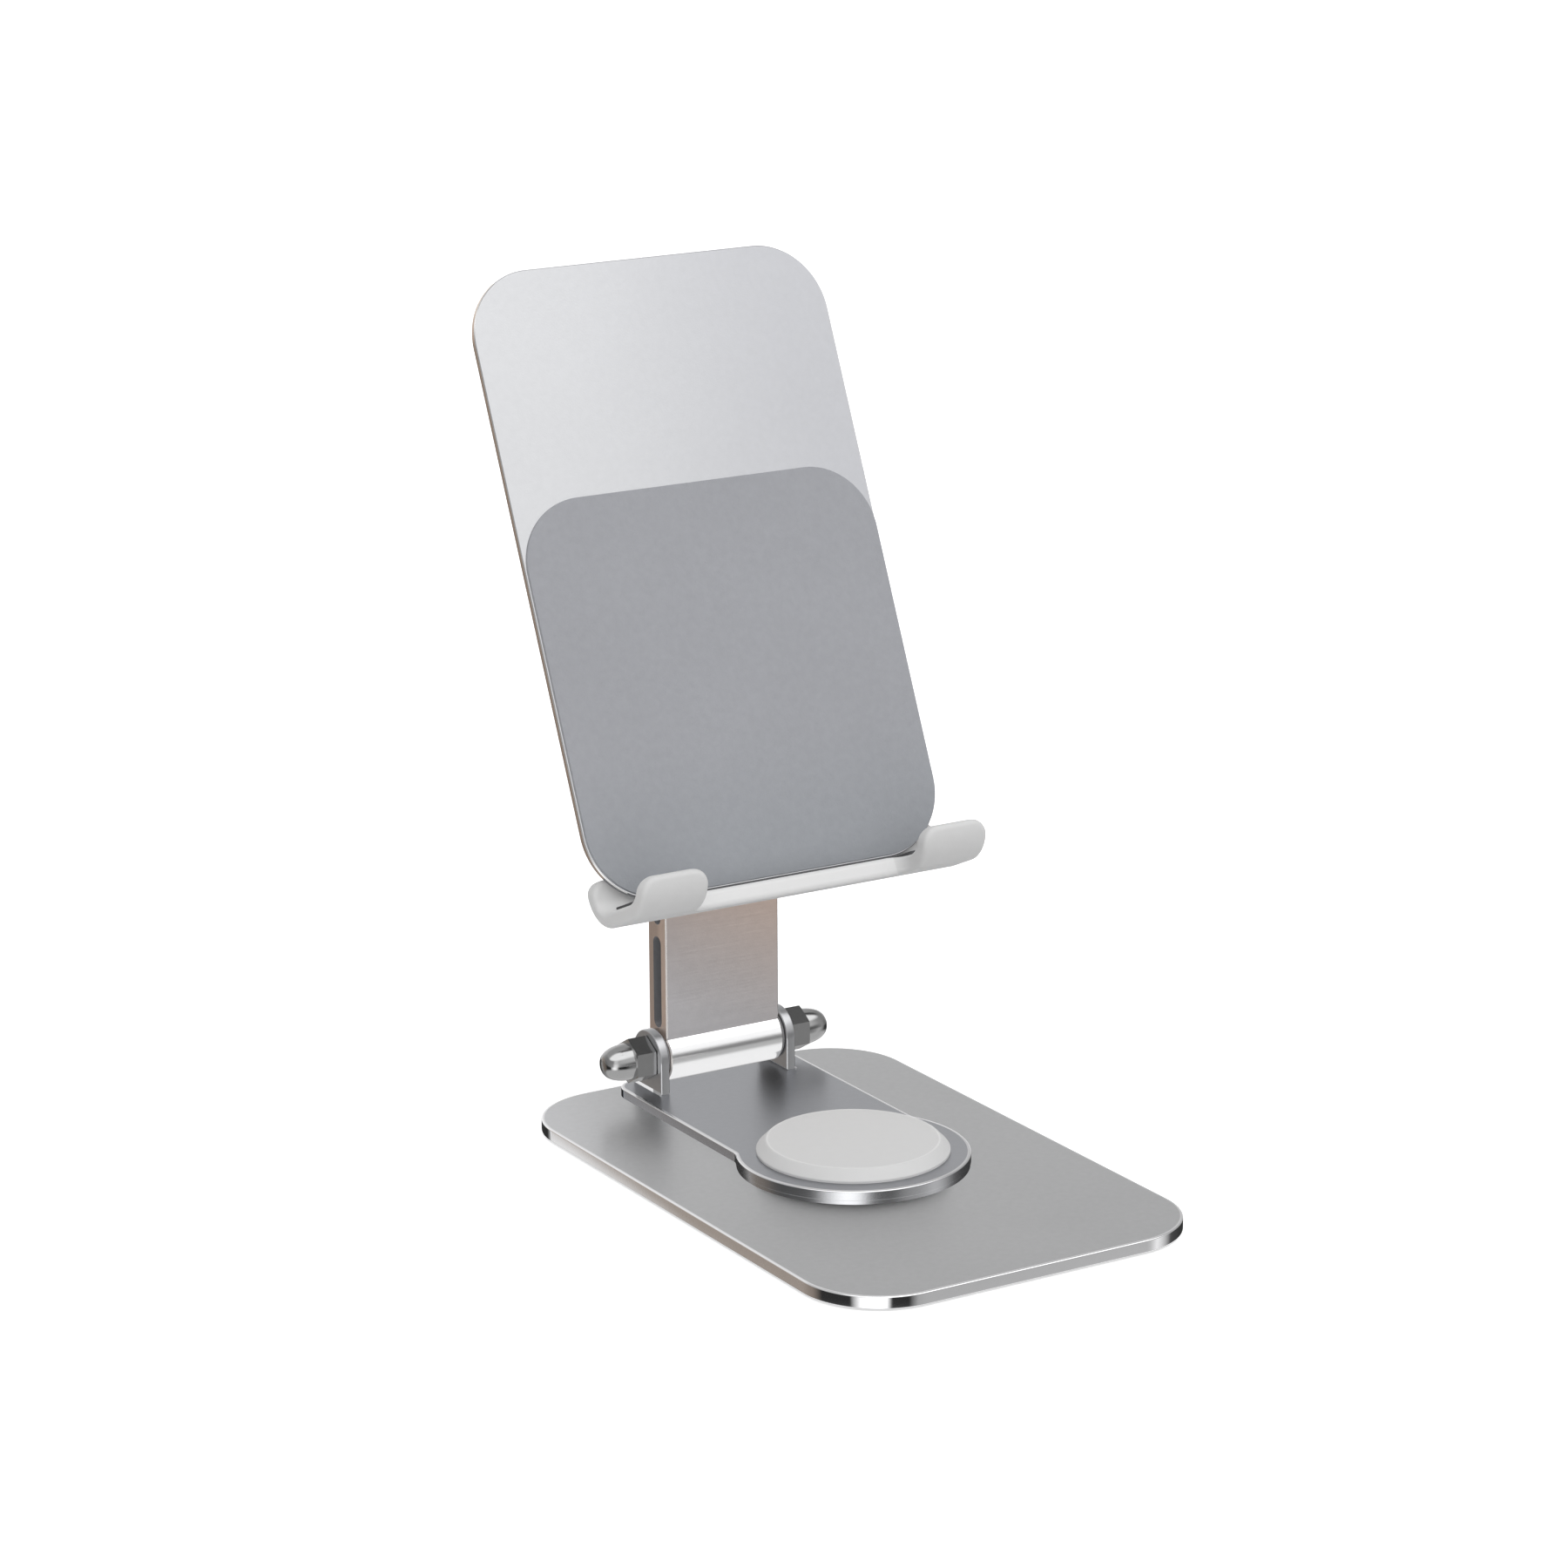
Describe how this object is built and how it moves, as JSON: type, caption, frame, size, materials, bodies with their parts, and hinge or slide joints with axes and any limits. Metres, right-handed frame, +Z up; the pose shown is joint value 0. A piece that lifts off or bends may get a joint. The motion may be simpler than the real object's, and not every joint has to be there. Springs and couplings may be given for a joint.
{
  "type": "phone stand",
  "caption": "Folding desk phone stand: flat base, turning hinge plate with a round pad, extruded arm on friction hinges, and a leaning padded rest with a moulded hooked cradle.",
  "frame": {"origin": "middle of the foot sheet's underside, on the axis that the hinge plate turns about", "axes": "+Z up, -Y towards the front where the phone faces, +X to the right of a person facing the stand"},
  "size_m": [0.08, 0.1423, 0.1663],
  "materials": {
    "satin_steel": "satin, fine bead-blasted, with bright chamfers",
    "polished_steel": "polished",
    "dark_nickel": "dark polished plating",
    "silver_sheet": "satin silver with a fine grain",
    "arm_aluminium": "satin extrusion with a polished barrel",
    "white_silicone": "matte off-white silicone",
    "grey_silicone": "matte grey silicone sheet",
    "dark_silicone": "matte dark silicone",
    "natural_nylon": "natural nylon"
  },
  "bodies": {
    "base": {"foot_pad": "dark_silicone", "base_plate": "satin_steel", "pivot_bolt": "polished_steel", "pivot_washer": "natural_nylon", "pivot_nut": "polished_steel"},
    "swivel": {"swivel_plate": "satin_steel", "swivel_pad": "white_silicone", "hinge_ear_left": "polished_steel", "hinge_ear_right": "polished_steel", "lower_axle": "polished_steel", "lower_acorn_nut_left": "dark_nickel", "lower_acorn_nut_right": "dark_nickel", "lower_friction_washer_left": "natural_nylon", "lower_friction_washer_right": "natural_nylon"},
    "arm": {"arm": "arm_aluminium", "lower_bush": "natural_nylon", "upper_bush": "natural_nylon"},
    "upper_hinge": {"upper_axle": "polished_steel", "upper_acorn_nut_left": "dark_nickel", "upper_acorn_nut_right": "dark_nickel", "upper_friction_washer_left": "natural_nylon", "upper_friction_washer_right": "natural_nylon"},
    "rest": {"rest_plate": "silver_sheet", "rest_pad": "grey_silicone", "upper_bracket": "polished_steel", "bracket_screw_1": "dark_nickel", "bracket_screw_2": "dark_nickel", "bracket_screw_3": "dark_nickel", "bracket_screw_4": "dark_nickel", "cradle": "white_silicone", "cradle_screw_left": "dark_nickel", "cradle_screw_right": "dark_nickel", "cradle_strip": "dark_silicone"}
  },
  "joints": [
    {"name": "swivel_turn", "type": "hinge", "parent": "base", "child": "swivel", "pos_m": [0, 0, 0], "axis": [0, 0, 1], "continuous": true},
    {"name": "arm_fold", "type": "hinge", "parent": "swivel", "child": "arm", "pos_m": [0, 0.0521, 0.0119], "axis": [1, 0, 0], "range_deg": [-5, 90]},
    {"name": "panel_fold", "type": "hinge", "parent": "arm", "child": "upper_hinge", "pos_m": [0, 0.0521, 0.085], "axis": [1, 0, 0], "range_deg": [-148, 8.5]},
    {"name": "panel_tilt", "type": "hinge", "parent": "upper_hinge", "child": "rest", "pos_m": [0, 0.0521, 0.085], "axis": [-1, 0, 0], "range_deg": [-10, 8]}
  ],
  "couplings": [
    {"joint": "panel_fold", "follows": "arm_fold", "ratio": -1.6444}
  ]
}
